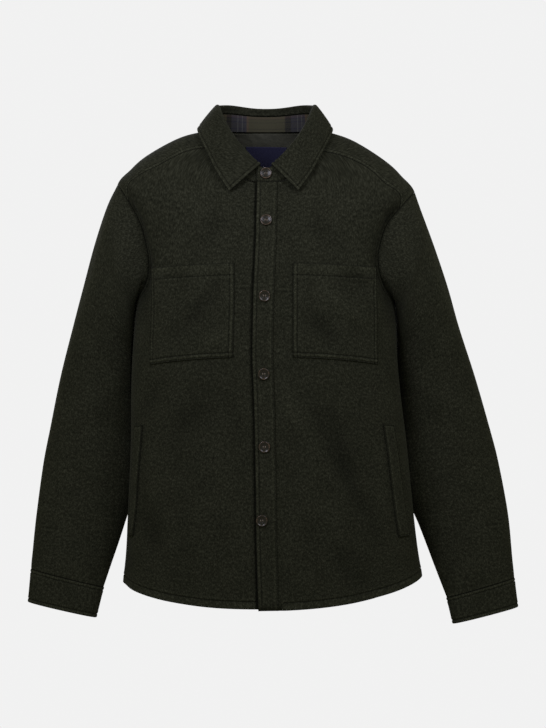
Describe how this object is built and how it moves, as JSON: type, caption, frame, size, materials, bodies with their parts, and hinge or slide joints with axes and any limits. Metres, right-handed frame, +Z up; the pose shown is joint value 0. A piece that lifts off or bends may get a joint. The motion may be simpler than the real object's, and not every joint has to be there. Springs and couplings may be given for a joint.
{
  "type": "shacket",
  "caption": "Hip length wool shirt jacket in its worn, hollow form, buttoned up, with a turned down collar, patch chest pockets, slanting hand pockets, back yoke and curved hem.",
  "frame": {"origin": "in the middle of the neck opening, level with the side neck points where the shoulder line meets the collar, which is where the wearer's shoulders hold the garment", "axes": "+Z up, -Y out of the buttoned front, +X to the wearer's left"},
  "size_m": [0.7884, 0.2542, 0.8341],
  "materials": {
    "wool": "felted wool twill, heathered very dark olive, matt with a short nap",
    "check": "dark navy and brown woven check, matt",
    "lining": "plain dark olive lining cloth with a soft sheen",
    "label": "bare dark navy woven label",
    "horn": "dark brown horn-like resin, polished"
  },
  "bodies": {
    "root": {"front_left_wearer": "wool", "front_right_wearer": "wool", "front_placket": "wool", "chest_pocket_left_wearer": "wool", "chest_pocket_right_wearer": "wool", "welt_left_wearer": "wool", "welt_right_wearer": "wool", "back": "wool", "yoke": "wool", "yoke_lining": "lining", "neck_label": "label", "sleeve_left_wearer": "wool", "cuff_left_wearer": "wool", "sleeve_right_wearer": "wool", "cuff_right_wearer": "wool", "collar_stand": "wool", "collar_stand_facing": "check", "collar_fall": "wool", "button_1": "horn", "button_2": "horn", "button_3": "horn", "button_4": "horn", "button_5": "horn", "button_6": "horn"}
  },
  "joints": []
}
